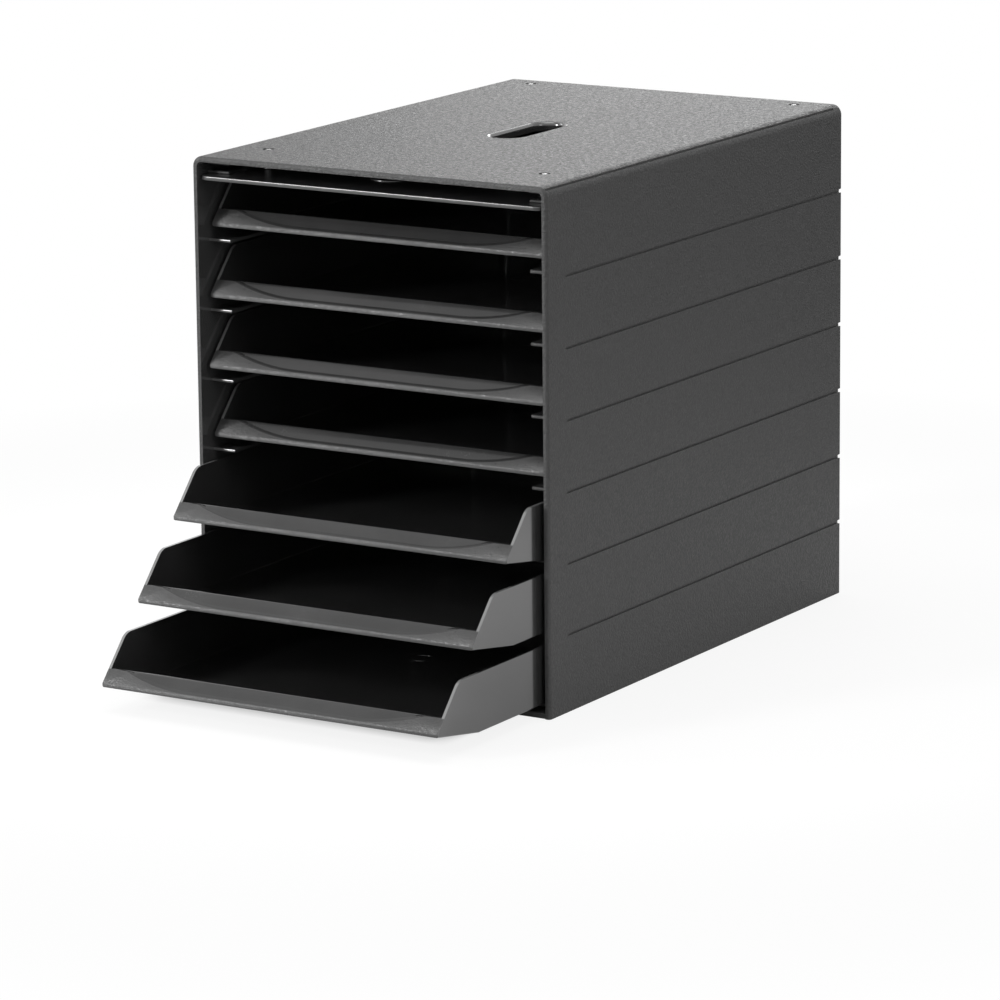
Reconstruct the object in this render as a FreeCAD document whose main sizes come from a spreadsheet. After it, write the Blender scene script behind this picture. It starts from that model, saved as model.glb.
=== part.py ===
# Letter tray stack: an open fronted case of moulded panels with seven trays that slide forward.
# X is to the right, Y to the back and Z up, with the origin under the middle of the case.
import FreeCAD, Part
import math
import os
import Sketcher

Vector = FreeCAD.Vector
doc = FreeCAD.newDocument("letter_tray_stack")

# How far each tray stands pulled out, from the top tray to the bottom one, in millimetres
PULLED_OUT = (0.0, 3.4, 6.0, 2.0, 48.1, 87.1, 126.0)

# Driving dimensions in millimetres, and shares without a unit
SIZES = (
    ("tray_width", 237.2, "outside width of a tray"),
    ("tray_length", 340.0, "tip of the front lip to the back of the rear wall"),
    ("tray_height", 36.0, "underside to the top edge of the walls"),
    ("tray_wall", 1.8, "thickness of the side and rear walls"),
    ("tray_floor", 1.8, "thickness of the floor"),
    ("tray_rear_radius", 5.0, "rounding of the two upright rear corners"),
    ("tray_edge_radius", 1.0, "rounding of the long lower edges"),
    ("tip_rise", 7.3, "height of the front tip above the flat underside"),
    ("ramp_length", 45.0, "length over which the underside rises to the tip"),
    ("nose_height", 2.4, "height of the upright edge at the tip"),
    ("front_run", 23.9, "how far the side wall leans back from the nose to the top"),
    ("shoulder_radius", 9.6, "rounding where the leaning edge meets the top edge"),
    ("lip_rise", 9.9, "height of the front lip above the tip"),
    ("lip_depth", 2.5, "level thickness of the front lip"),
    ("nose_edge_radius", 0.6, "rounding of the edges of the nose"),
    ("scoop_depth", 0.6, "depth of the smooth scoop in the lip's face"),
    ("scoop_margin", 0.8, "plain rim left between the nose and the scoop"),
    ("scoop_end_share", 0.045, "share of the width left plain at the ridge's ends"),
    ("scoop_flat_share", 0.26, "share of the width from each end to the straight bottom"),
    ("ring_outer", 15.0, "outside diameter of the ring in the floor"),
    ("ring_inner", 12.6, "inside diameter of the ring in the floor"),
    ("ring_depth", 0.5, "depth of the ring in the floor"),
    ("lug_reach", 2.2, "how far the stop lugs stand out of the tray's sides"),
    ("lug_length", 8.0, "length of a stop lug"),
    ("lug_height", 12.0, "height of a stop lug"),
    ("lug_level", 12.0, "underside of the tray to the underside of a lug"),
    ("lug_inset", 8.0, "back of the tray to the back of a lug"),
    ("tray_gap", 0.3, "running gap between a tray and its runners"),
    ("tray_side_gap", 3.0, "running gap between a tray and the case wall"),
    ("tray_headroom", 7.4, "top of a tray to the underside of the next"),
    ("tray_reveal", 11.2, "front of the case to the tip of a closed tray"),
    ("tray_rear_gap", 9.3, "back of a closed tray to the rear panel"),
    ("tray_travel", 210.0, "closed to the stop"),
    ("case_wall", 3.4, "thickness of the side panels and of the top cover"),
    ("base_thickness", 3.6, "thickness of the bottom panel"),
    ("inner_corner_radius", 3.0, "inside rounding of the upper long corners"),
    ("front_edge_radius", 2.0, "rounding of the outer front edges"),
    ("base_edge_radius", 1.2, "rounding of the outer lower edges"),
    ("runner_width", 15.2, "how far a runner stands out of the wall"),
    ("runner_thickness", 2.2, "height of a runner"),
    ("flange_thickness", 4.1, "height of the lowest runner, which is screwed down"),
    ("runner_setback", 12.0, "front of the case to the runners' front ends"),
    ("stop_length", 6.0, "length of a stop on the side panel"),
    ("stop_reach", 2.2, "how far a stop stands out of the wall"),
    ("stop_height", 10.0, "height of a stop"),
    ("groove_drop", 3.7, "underside of a tray to the groove outside"),
    ("groove_width", 1.5, "height of the outside grooves"),
    ("groove_depth", 0.9, "depth of the outside grooves"),
    ("groove_setback", 21.5, "front of the case to the start of the grooves"),
    ("shelf_headroom", 1.1, "top tray to the underside of the hand shelf"),
    ("shelf_thickness", 2.5, "thickness of the hand shelf"),
    ("shelf_side_gap", 0.6, "hand shelf to the case wall"),
    ("shelf_setback", 0.6, "front of the case to the hand shelf"),
    ("shelf_rear_gap", 0.4, "hand shelf to the rear panel"),
    ("shelf_corner_radius", 6.0, "rounding of the hand shelf's front corners"),
    ("shelf_disc_diameter", 26.0, "diameter of the raised disc on the hand shelf"),
    ("shelf_disc_height", 1.0, "height of the raised disc on the hand shelf"),
    ("shelf_disc_place", 47.5, "front of the case to the middle of the raised disc"),
    ("shelf_disc_offset", 12.0, "middle of the case to the middle of the raised disc, to the left"),
    ("pocket_height", 8.6, "hand shelf to the underside of the top cover"),
    ("clamp_rib_thickness", 1.8, "rib over the edge of the hand shelf"),
    ("top_rib_thickness", 3.2, "rib under the edge of the top cover"),
    ("rib_rear_gap", 1.0, "runners and ribs to the rear panel"),
    ("rear_panel_thickness", 3.0, "thickness of the rear panel"),
    ("rear_lip", 1.5, "back of the case to the back of the rear panel"),
    ("rear_slot_depth", 1.5, "depth of the slot that holds the rear panel"),
    ("rear_slot_gap", 0.2, "play of the rear panel in its slot"),
    ("seam_angle", 45.0, "how far round the upper corners the seam lies, in degrees"),
    ("seam_width", 1.7, "width of the groove along the corner seam"),
    ("seam_depth", 1.1, "depth of the groove along the corner seam"),
    ("seam_front", 2.2, "front of the case to the start of the seam groove"),
    ("seam_rear", 7.5, "end of the seam groove to the back of the case"),
    ("slot_width", 22.4, "width of the carry slot"),
    ("slot_length", 69.4, "length of the carry slot, front to back"),
    ("slot_offset", 2.0, "middle of the case to the middle of the carry slot, to the right"),
    ("slot_collar_wall", 1.8, "thickness of the collar round the carry slot"),
    ("slot_collar_drop", 2.2, "how far the collar hangs under the cover"),
    ("slot_edge_radius", 2.4, "rounding of the carry slot's upper edge"),
    ("cover_screw_inset", 23.6, "inside of the case to the cover screws"),
    ("cover_screw_front", 43.1, "front of the case to the front cover screws"),
    ("cover_screw_rear", 13.5, "back of the case to the rear cover screws"),
    ("base_screw_end", 40.0, "front or back of the case to the base screws"),
    ("screw_diameter", 2.9, "shank of the screws"),
    ("screw_play", 0.3, "how much wider the holes are than the shank"),
    ("screw_length", 7.0, "length of the shank under the head"),
    ("base_screw_length", 5.2, "length of the shank of a base screw"),
    ("head_diameter", 5.6, "diameter of the screw heads"),
    ("head_height", 1.5, "height of the screw heads"),
    ("head_bevel", 0.6, "bevel round the screw heads"),
    ("drive_diameter", 2.2, "diameter of the drive recess in a screw head"),
    ("drive_depth", 0.8, "depth of the drive recess in a screw head"),
    ("drive_sides", 6, "number of sides of the drive recess"),
    ("recess_diameter", 7.2, "diameter of the recess round a screw head"),
    ("recess_depth", 1.6, "depth of the recess round a screw head"),
    ("boss_diameter", 7.0, "diameter of the bosses under the cover"),
    ("overrun", 2.0, "how far a cut runs past the solid"),
)

# Sizes that follow from the driving ones
WORKED_OUT = (
    ("tray_pitch", "Sizes.tray_height + Sizes.tray_headroom"),
    ("first_level", "Sizes.base_thickness + Sizes.flange_thickness + Sizes.tray_gap"),
    ("last_level", "first_level + (Sizes.tray_count - 1) * tray_pitch"),
    ("shelf_underside", "last_level + Sizes.tray_height + Sizes.shelf_headroom"),
    ("shelf_top", "shelf_underside + Sizes.shelf_thickness"),
    ("cover_underside", "shelf_top + Sizes.pocket_height"),
    ("case_height", "cover_underside + Sizes.case_wall"),
    ("inner_half", "Sizes.tray_width / 2 + Sizes.tray_side_gap"),
    ("outer_half", "inner_half + Sizes.case_wall"),
    ("case_depth", "Sizes.tray_reveal + Sizes.tray_length + Sizes.tray_rear_gap"
                   " + Sizes.rear_panel_thickness + Sizes.rear_lip"),
    ("half_depth", "case_depth / 2"),
    ("outer_radius", "Sizes.inner_corner_radius + Sizes.case_wall"),
    ("corner_x", "inner_half - Sizes.inner_corner_radius"),
    ("corner_z", "cover_underside - Sizes.inner_corner_radius"),
    ("rear_face", "half_depth - Sizes.rear_lip - Sizes.rear_panel_thickness"),
    ("rib_rear", "rear_face - Sizes.rib_rear_gap"),
    ("runner_front", "Sizes.runner_setback - half_depth"),
    ("nose_level", "Sizes.tip_rise + Sizes.nose_height"),
    ("lean", "Sizes.front_run / (Sizes.tray_height - nose_level)"),
    ("ridge_level", "Sizes.tip_rise + Sizes.lip_rise"),
    ("ridge_run", "(ridge_level - nose_level) * lean"),
    ("ramp_slope", "Sizes.tip_rise / Sizes.ramp_length"),
    ("heel_run", "(Sizes.lip_depth + (Sizes.tray_floor - Sizes.nose_height) * lean)"
                 " / (1 + ramp_slope * lean)"),
    ("heel_level", "Sizes.tip_rise + Sizes.tray_floor - ramp_slope * heel_run"),
    ("lip_face", "(ridge_level - nose_level) / cos(atan(lean))"),
    ("lug_front", "Sizes.tray_length - Sizes.lug_inset - Sizes.lug_length"),
    ("stop_rear", "Sizes.tray_reveal - half_depth + lug_front - Sizes.tray_travel - Sizes.tray_gap"),
    ("shelf_front", "Sizes.shelf_setback - half_depth"),
    ("shelf_rear", "rear_face - Sizes.shelf_rear_gap"),
    ("shelf_half", "inner_half - Sizes.shelf_side_gap"),
    ("screw_side", "inner_half - Sizes.cover_screw_inset"),
    ("screw_front", "Sizes.cover_screw_front - half_depth"),
    ("screw_rear", "half_depth - Sizes.cover_screw_rear"),
    ("base_screw_side", "inner_half - Sizes.runner_width / 2"),
    ("base_screw_place", "half_depth - Sizes.base_screw_end"),
    ("hole_diameter", "Sizes.screw_diameter + Sizes.screw_play"),
)


# The two sheets of sizes
def fill_sheet(sheet, rows):
    for row, entry in enumerate(rows, start=1):
        sheet.set(f"A{row}", entry[0])
        sheet.set(f"B{row}", str(entry[1]))
        sheet.setAlias(f"B{row}", entry[0])
        if len(entry) > 2:
            sheet.set(f"C{row}", entry[2])


sizes = doc.addObject("Spreadsheet::Sheet", "Sizes")
pull_rows = [(f"pull_{number}", pull, "how far this tray stands pulled out")
             for number, pull in enumerate(PULLED_OUT, start=1)]
count_row = ("tray_count", len(PULLED_OUT), "number of trays")
fill_sheet(sizes, [count_row, *SIZES, *pull_rows])
worked = doc.addObject("Spreadsheet::Sheet", "Worked")
fill_sheet(worked, [(name, "=" + formula) for name, formula in WORKED_OUT])
doc.recompute()

# Prefixes of the two sheets in the formulas, and how closely places are compared
S = "Sizes."
W = "Worked."
TOLERANCE = 1e-4


# Helpers for sketches, features and checks
def near(a, b):
    return abs(a - b) < TOLERANCE


def value(expression):
    return float(sizes.evalExpression(str(expression)))


def bind(feature, **formulas):
    for name, formula in formulas.items():
        feature.setExpression(name, str(formula))


def origin_feature(body, role):
    return next(f for f in body.Origin.OriginFeatures if f.Role == role)


def place_sketch(body, name, plane, offset="0"):
    sketch = body.newObject("Sketcher::SketchObject", name)
    sketch.AttachmentSupport = (origin_feature(body, plane), "")
    sketch.MapMode = "FlatFace"
    if offset != "0":
        sketch.setExpression("AttachmentOffset.Base.z", offset)
    return sketch


def pin_point(sketch, edge, end, x, y):
    for direction, formula, axis in (("DistanceX", x, -2), ("DistanceY", y, -1)):
        if formula == "0":
            sketch.addConstraint(Sketcher.Constraint("PointOnObject", edge, end, axis))
        else:
            index = sketch.addConstraint(
                Sketcher.Constraint(direction, -1, 1, edge, end, value(formula)))
            sketch.setExpression(f"Constraints[{index}]", formula)


def arc_between(start, end, radius, counter_clockwise):
    chord = end - start
    middle = (start + end) / 2
    side = Vector(-chord.y, chord.x, 0).normalize()
    reach = math.sqrt(max(radius ** 2 - (chord.Length / 2) ** 2, 0))
    centre = middle + side * (reach if counter_clockwise else -reach)
    first, last = (start, end) if counter_clockwise else (end, start)
    first_angle = math.atan2(first.y - centre.y, first.x - centre.x)
    last_angle = math.atan2(last.y - centre.y, last.x - centre.x)
    circle = Part.Circle(centre, Vector(0, 0, 1), radius)
    return Part.ArcOfCircle(circle, first_angle, last_angle)


def outline(sketch, points, arcs=None):
    """Closed outline through points given as formulas.

    arcs maps a side to its radius and whether it turns left, and for a half circle also
    to the height of its centre, which then fixes the arc in place of the radius.
    """
    arcs = arcs or {}
    corners = [Vector(value(x), value(y), 0) for x, y in points]
    ends = []
    for side, start in enumerate(corners):
        end = corners[(side + 1) % len(corners)]
        if side in arcs:
            radius, turns_left, *centre = arcs[side]
            edge = sketch.addGeometry(arc_between(start, end, value(radius), turns_left))
            ends.append((1, 2) if turns_left else (2, 1))
            if centre:
                height = centre[0]
                index = sketch.addConstraint(
                    Sketcher.Constraint("DistanceY", -1, 1, edge, 3, value(height)))
                sketch.setExpression(f"Constraints[{index}]", height)
            else:
                index = sketch.addConstraint(Sketcher.Constraint("Radius", edge, value(radius)))
                sketch.setExpression(f"Constraints[{index}]", radius)
        else:
            edge = sketch.addGeometry(Part.LineSegment(start, end))
            ends.append((1, 2))
    for side in range(len(corners)):
        after = (side + 1) % len(corners)
        sketch.addConstraint(
            Sketcher.Constraint("Coincident", side, ends[side][1], after, ends[after][0]))
    for side, (x, y) in enumerate(points):
        pin_point(sketch, side, ends[side][0], x, y)
    return sketch


def rectangle(sketch, x0, y0, x1, y1):
    return outline(sketch, ((x0, y0), (x1, y0), (x1, y1), (x0, y1)))


def circle(sketch, x, y, diameter):
    centre = Vector(value(x), value(y), 0)
    edge = sketch.addGeometry(Part.Circle(centre, Vector(0, 0, 1), value(diameter) / 2))
    pin_point(sketch, edge, 3, x, y)
    index = sketch.addConstraint(Sketcher.Constraint("Diameter", edge, value(diameter)))
    sketch.setExpression(f"Constraints[{index}]", diameter)
    return sketch


def extrude(body, kind, name, sketch, length, reverse=False, symmetric=False):
    before = body.Shape.Volume if body.Tip else 0.0
    feature = body.newObject(f"PartDesign::{kind}", name)
    feature.Profile = sketch
    feature.Reversed = reverse
    feature.SideType = "Symmetric" if symmetric else "One side"
    bind(feature, Length=length)
    doc.recompute()
    grows = body.Shape.Volume > before
    if grows != (kind == "Pad") or near(body.Shape.Volume, before):
        raise RuntimeError(f"{body.Name}: {name} changes nothing or the wrong way")
    return feature


def pad(body, name, sketch, length, **options):
    return extrude(body, "Pad", name, sketch, length, **options)


def pocket(body, name, sketch, length, **options):
    return extrude(body, "Pocket", name, sketch, length, **options)


def repeat_upward(body, feature, count, spacing):
    pattern = body.newObject("PartDesign::LinearPattern", feature.Name + "_row")
    pattern.Originals = [feature]
    pattern.Direction = (origin_feature(body, "Z_Axis"), [""])
    pattern.Mode = "Spacing"
    bind(pattern, Offset=spacing, Occurrences=count)
    body.Tip = pattern
    doc.recompute()
    return pattern


def round_edges(body, name, radius, chosen):
    """Fillet the edges whose middle point and direction the chosen function accepts."""
    base = body.Tip
    names = []
    for number, edge in enumerate(base.Shape.Edges, start=1):
        middle = edge.valueAt((edge.FirstParameter + edge.LastParameter) / 2)
        if chosen(middle, edge):
            names.append(f"Edge{number}")
    if not names:
        raise RuntimeError(f"{body.Name}: {name} found no edge")
    fillet = body.newObject("PartDesign::Fillet", name)
    fillet.Base = (base, names)
    bind(fillet, Radius=radius)
    doc.recompute()
    return fillet


def new_body(name):
    body = doc.addObject("PartDesign::Body", name)
    body.Label = name
    return body


# Points on the upper long corners, given by how far they lie from the corner's centre line
# along the direction of the seam and how far to the upper side of it
def corner_point(hand, outward, upward="0"):
    sign = "" if hand > 0 else "-"
    angle = f"{S}seam_angle"
    x = f"{sign}({W}corner_x + ({outward}) * cos({angle}) - ({upward}) * sin({angle}))"
    z = f"{W}corner_z + ({outward}) * sin({angle}) + ({upward}) * cos({angle})"
    return x, z


def cut_seam(body, name, hand):
    """The groove along the seam between the cover and a side panel, open along the corner."""
    sketch = place_sketch(body, name + "_outline", "XZ_Plane", f"{W}half_depth - {S}seam_front")
    reach = f"{W}outer_radius + {S}overrun"
    half = f"{S}seam_width / 2 * ({S}seam_depth + {S}overrun) / {S}seam_depth"
    outline(sketch, (corner_point(hand, f"{W}outer_radius - {S}seam_depth"),
                     corner_point(hand, reach, f"-({half})"), corner_point(hand, reach, half)))
    pocket(body, name, sketch, f"{W}case_depth - {S}seam_front - {S}seam_rear")


def outer_front_edges(middle, edge):
    """Front edges of a panel that lie on the outside of the case."""
    if not near(middle.y, -value(W + "half_depth")):
        return False
    reach_x = abs(middle.x) - value(W + "corner_x")
    reach_z = middle.z - value(W + "corner_z")
    radius = value(W + "outer_radius")
    on_side = near(abs(middle.x), value(W + "outer_half"))
    on_top = near(middle.z, value(W + "case_height"))
    on_corner = reach_x > 0 and reach_z > 0 and near(math.hypot(reach_x, reach_z), radius)
    return on_side or on_top or on_corner


# Trays
def make_tray(number):
    tray = new_body(f"tray_{number}")
    half = f"{S}tray_width / 2"

    profile = place_sketch(tray, "side_view", "YZ_Plane")
    outline(profile, (("0", f"{S}tip_rise"), (f"{S}ramp_length", "0"), (f"{S}tray_length", "0"),
                      (f"{S}tray_length", f"{S}tray_height"), (f"{S}front_run", f"{S}tray_height"),
                      ("0", f"{W}nose_level")))
    pad(tray, "block", profile, f"{S}tray_width", symmetric=True)

    lug = place_sketch(tray, "lug_view", "YZ_Plane")
    rectangle(lug, f"{W}lug_front", f"{S}lug_level",
              f"{W}lug_front + {S}lug_length", f"{S}lug_level + {S}lug_height")
    pad(tray, "stop_lugs", lug, f"{S}tray_width + 2 * {S}lug_reach", symmetric=True)

    round_edges(tray, "rear_corners", f"{S}tray_rear_radius",
                lambda middle, edge: near(middle.y, value(f"{S}tray_length"))
                and near(abs(middle.x), value(half)))

    inside = place_sketch(tray, "inside_view", "YZ_Plane")
    outline(inside, ((f"{W}heel_run", f"{W}heel_level"), (f"{S}ramp_length", f"{S}tray_floor"),
                     (f"{S}tray_length - {S}tray_wall", f"{S}tray_floor"),
                     (f"{S}tray_length - {S}tray_wall", f"{S}tray_height + {S}overrun"),
                     (f"-{S}overrun", f"{S}tray_height + {S}overrun"),
                     (f"-{S}overrun", f"{W}ridge_level"),
                     (f"{W}ridge_run + {S}lip_depth", f"{W}ridge_level")))
    pocket(tray, "inside", inside, f"{S}tray_width - 2 * {S}tray_wall", symmetric=True)

    round_edges(tray, "inner_rear_corners", f"{S}tray_rear_radius - {S}tray_wall",
                lambda middle, edge: near(middle.y, value(f"{S}tray_length - {S}tray_wall"))
                and near(abs(middle.x), value(f"{half} - {S}tray_wall")))

    face = place_sketch(tray, "scoop_view", "XZ_Plane")
    face.AttachmentOffset = FreeCAD.Placement(Vector(), FreeCAD.Rotation(Vector(-1, 0, 0), 1))
    face.setExpression("AttachmentOffset.Base.y", f"{W}nose_level")
    face.setExpression("AttachmentOffset.Rotation.Angle", f"atan({W}lean)")
    top = f"{W}lip_face + {S}overrun"
    end = f"({half} - {S}scoop_end_share * {S}tray_width)"
    flat = f"({half} - {S}scoop_flat_share * {S}tray_width)"
    rise = f"({top} - {S}scoop_margin)"
    sag = f"(({end} - {flat}) * ({end} - {flat}) + {rise} * {rise}) / (2 * {rise})"
    outline(face, ((f"-{flat}", f"{S}scoop_margin"), (flat, f"{S}scoop_margin"),
                   (end, top), (f"-{end}", top)), {1: (sag, True), 3: (sag, True)})
    pocket(tray, "scoop", face, f"{S}scoop_depth")

    ring = place_sketch(tray, "ring_view", "XY_Plane", f"{S}tray_floor")
    circle(ring, "0", f"{S}tray_length / 2", f"{S}ring_outer")
    circle(ring, "0", f"{S}tray_length / 2", f"{S}ring_inner")
    pocket(tray, "ring", ring, f"{S}ring_depth")

    round_edges(tray, "shoulders", f"{S}shoulder_radius",
                lambda middle, edge: near(middle.y, value(f"{S}front_run"))
                and near(middle.z, value(f"{S}tray_height")))
    round_edges(tray, "nose_edges", f"{S}nose_edge_radius",
                lambda middle, edge: near(middle.y, 0) and edge.Length > value(half))
    round_edges(tray, "lower_edges", f"{S}tray_edge_radius",
                lambda middle, edge: near(abs(middle.x), value(half))
                and middle.z < value(f"{S}tip_rise") and middle.y > value(f"{S}nose_edge_radius"))

    bind(tray, **{"Placement.Base.y": f"{S}tray_reveal - {W}half_depth - {S}pull_{number}",
                  "Placement.Base.z": f"{W}first_level + ({S}tray_count - {number}) * {W}tray_pitch"})
    return tray


# Side panels
def make_side_panel(name, hand):
    panel = new_body(name)
    sign = "" if hand > 0 else "-"
    turns_left = hand > 0

    outer_end = corner_point(hand, f"{W}outer_radius")
    inner_end = corner_point(hand, f"{S}inner_corner_radius")
    section = place_sketch(panel, "section", "XZ_Plane")
    outline(section, ((f"{sign}{W}inner_half", "0"), (f"{sign}{W}outer_half", "0"),
                      (f"{sign}{W}outer_half", f"{W}corner_z"), outer_end,
                      inner_end, (f"{sign}{W}inner_half", f"{W}corner_z")),
            {2: (f"{W}outer_radius", turns_left), 4: (f"{S}inner_corner_radius", not turns_left)})
    pad(panel, "wall", section, f"{W}case_depth", symmetric=True)

    round_edges(panel, "front_edge", f"{S}front_edge_radius", outer_front_edges)
    round_edges(panel, "base_edge", f"{S}base_edge_radius",
                lambda middle, edge: near(middle.z, 0)
                and near(abs(middle.x), value(f"{W}outer_half")))

    def rib(rib_name, front, rear, low, high, reach):
        view = place_sketch(panel, rib_name + "_view", "YZ_Plane", f"{sign}{W}inner_half")
        rectangle(view, front, low, rear, high)
        return pad(panel, rib_name, view, reach, reverse=hand > 0)

    ends = (f"{W}runner_front", f"{W}rib_rear")
    rib("base_flange", *ends, f"{S}base_thickness", f"{W}first_level - {S}tray_gap",
        f"{S}runner_width")
    seat = f"{W}first_level + {W}tray_pitch - {S}tray_gap"
    runner = rib("runner", *ends, f"{seat} - {S}runner_thickness", seat, f"{S}runner_width")
    repeat_upward(panel, runner, f"{S}tray_count - 1", f"{W}tray_pitch")
    rib("clamp_rib", *ends, f"{W}shelf_top", f"{W}shelf_top + {S}clamp_rib_thickness",
        f"{S}runner_width")
    rib("top_rib", *ends, f"{W}cover_underside - {S}top_rib_thickness", f"{W}cover_underside",
        f"{S}runner_width")
    catch = f"{W}first_level + {S}lug_level"
    stop = rib("stop", f"{W}stop_rear - {S}stop_length", f"{W}stop_rear",
               catch, f"{catch} + {S}stop_height", f"{S}stop_reach")
    repeat_upward(panel, stop, f"{S}tray_count", f"{W}tray_pitch")

    # The top rib makes way for the rounded corner of the cover
    corner = place_sketch(panel, "cover_corner", "XZ_Plane")
    reach = f"{S}inner_corner_radius + {S}overrun"
    outline(corner, (inner_end, (f"{sign}({W}corner_x + {reach})", f"{W}corner_z + {reach}"),
                     (f"{sign}{W}corner_x", f"{W}corner_z + {reach}"),
                     (f"{sign}{W}corner_x", f"{W}cover_underside")),
            {3: (f"{S}inner_corner_radius", not turns_left)})
    pocket(panel, "cover_room", corner, f"{W}case_depth", symmetric=True)

    rear_slot = place_sketch(panel, "rear_slot_view", "YZ_Plane", f"{sign}{W}inner_half")
    rectangle(rear_slot, f"{W}rear_face - {S}rear_slot_gap", f"-{S}overrun",
              f"{W}half_depth - {S}rear_lip + {S}rear_slot_gap", f"{W}corner_z")
    pocket(panel, "rear_slot", rear_slot, f"{S}rear_slot_depth", reverse=hand > 0)

    pilots = place_sketch(panel, "pilot_view", "XY_Plane", f"{S}base_thickness")
    for place in (f"-{W}base_screw_place", f"{W}base_screw_place"):
        circle(pilots, f"{sign}{W}base_screw_side", place, f"{W}hole_diameter")
    pocket(panel, "pilot_holes", pilots, f"{S}flange_thickness", reverse=True)

    level = f"{W}first_level + {W}tray_pitch - {S}groove_drop"
    groove = place_sketch(panel, "groove_view", "YZ_Plane", f"{sign}{W}outer_half")
    rectangle(groove, f"{S}groove_setback - {W}half_depth", f"{level} - {S}groove_width / 2",
              f"{W}half_depth + {S}overrun", f"{level} + {S}groove_width / 2")
    cut = pocket(panel, "groove", groove, f"{S}groove_depth", reverse=hand < 0)
    repeat_upward(panel, cut, f"{S}tray_count - 1", f"{W}tray_pitch")

    cut_seam(panel, "seam", hand)
    return panel


# Top cover with the carry slot
def make_top_cover():
    cover = new_body("top_cover")
    section = place_sketch(cover, "section", "XZ_Plane")
    outer = f"{W}outer_radius"
    inner = f"{S}inner_corner_radius"
    outline(section, ((f"-{W}corner_x", f"{W}cover_underside"),
                      corner_point(-1, inner), corner_point(-1, outer),
                      (f"-{W}corner_x", f"{W}case_height"), (f"{W}corner_x", f"{W}case_height"),
                      corner_point(1, outer), corner_point(1, inner),
                      (f"{W}corner_x", f"{W}cover_underside")),
            {0: (inner, True), 2: (outer, False), 4: (outer, False), 6: (inner, True)})
    pad(cover, "plate", section, f"{W}case_depth", symmetric=True)
    round_edges(cover, "front_edge", f"{S}front_edge_radius", outer_front_edges)

    def slot_outline(name, offset, grow):
        straight = f"({S}slot_length - {S}slot_width) / 2"
        radius = f"{S}slot_width / 2 + {grow}"
        left, right = f"{S}slot_offset - ({radius})", f"{S}slot_offset + {radius}"
        view = place_sketch(cover, name, "XY_Plane", offset)
        outline(view, ((left, straight), (left, f"-{straight}"),
                       (right, f"-{straight}"), (right, straight)),
                {1: (radius, True, f"-{straight}"), 3: (radius, True, straight)})
        return view

    collar = slot_outline("collar_view", f"{W}cover_underside", f"{S}slot_collar_wall")
    pad(cover, "collar", collar, f"{S}slot_collar_drop", reverse=True)
    slot = slot_outline("slot_view", f"{W}case_height", "0")
    pocket(cover, "carry_slot", slot, f"2 * ({S}case_wall + {S}slot_collar_drop)")
    round_edges(cover, "slot_edge", f"{S}slot_edge_radius",
                lambda middle, edge: near(middle.z, value(f"{W}case_height"))
                and abs(middle.y) <= value(f"{S}slot_length / 2") + value(f"{S}overrun")
                and abs(middle.x - value(f"{S}slot_offset"))
                <= value(f"{S}slot_width / 2") + value(f"{S}overrun"))

    screw_places = [(f"{side}{W}screw_side", f"{W}{row}")
                    for side in ("", "-") for row in ("screw_front", "screw_rear")]
    recesses = place_sketch(cover, "recess_view", "XY_Plane", f"{W}case_height")
    holes = place_sketch(cover, "hole_view", "XY_Plane", f"{W}case_height")
    for x, y in screw_places:
        circle(recesses, x, y, f"{S}recess_diameter")
        circle(holes, x, y, f"{W}hole_diameter")
    pocket(cover, "recesses", recesses, f"{S}recess_depth")
    pocket(cover, "screw_holes", holes, f"{S}case_wall + {S}overrun")
    cut_seam(cover, "right_seam", 1)
    cut_seam(cover, "left_seam", -1)
    return cover


# Hand shelf under the cover, with the bosses for the cover screws
def make_hand_shelf():
    shelf = new_body("hand_shelf")
    plan = place_sketch(shelf, "plan", "XY_Plane", f"{W}shelf_underside")
    half = f"{W}shelf_half"
    rectangle(plan, f"-{half}", f"{W}shelf_front", half, f"{W}shelf_rear")
    pad(shelf, "plate", plan, f"{S}shelf_thickness")
    round_edges(shelf, "front_corners", f"{S}shelf_corner_radius",
                lambda middle, edge: near(abs(middle.x), value(half))
                and near(middle.y, value(f"{W}shelf_front")))
    bosses = place_sketch(shelf, "boss_view", "XY_Plane", f"{W}shelf_top")
    pilots = place_sketch(shelf, "pilot_view", "XY_Plane", f"{W}cover_underside")
    for side in ("", "-"):
        for row in ("screw_front", "screw_rear"):
            circle(bosses, f"{side}{W}screw_side", f"{W}{row}", f"{S}boss_diameter")
            circle(pilots, f"{side}{W}screw_side", f"{W}{row}", f"{W}hole_diameter")
    pad(shelf, "bosses", bosses, f"{S}pocket_height")
    pocket(shelf, "pilot_holes", pilots, f"{S}pocket_height")
    disc = place_sketch(shelf, "disc_view", "XY_Plane", f"{W}shelf_top")
    circle(disc, f"-{S}shelf_disc_offset", f"{S}shelf_disc_place - {W}half_depth",
           f"{S}shelf_disc_diameter")
    pad(shelf, "disc", disc, f"{S}shelf_disc_height")
    return shelf


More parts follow.
